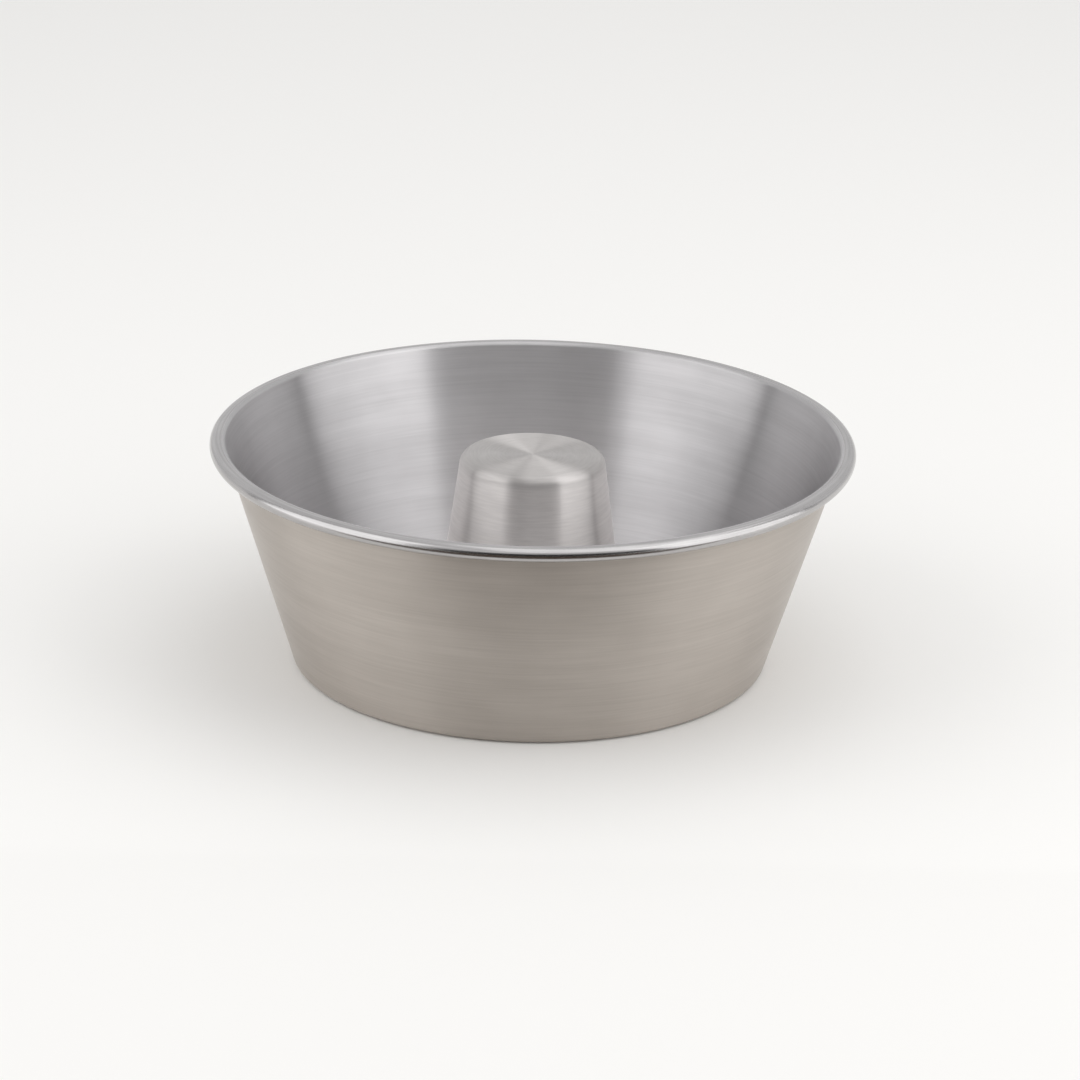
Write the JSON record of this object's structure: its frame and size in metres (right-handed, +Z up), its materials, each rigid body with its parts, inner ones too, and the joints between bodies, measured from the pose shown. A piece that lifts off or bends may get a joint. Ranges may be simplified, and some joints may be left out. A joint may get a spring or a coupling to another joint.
{
  "type": "bundt pan",
  "caption": "Round flared cake pan in spun aluminium sheet with a wired rolled rim and a closed tapered centre tube.",
  "frame": {"origin": "on the surface the pan stands on, at the middle of its round base", "axes": "+Z up along the pan's axis, through the middle of the centre tube; the pan is round, so +X and +Y are free"},
  "size_m": [0.254, 0.254, 0.091],
  "materials": {
    "pan_sheet": "satin, spun",
    "tube_sheet": "satin, spun",
    "rim_wire": "drawn wire"
  },
  "bodies": {
    "root": {"pan_body": "pan_sheet", "center_tube": "tube_sheet", "rim_wire": "rim_wire"}
  },
  "joints": []
}
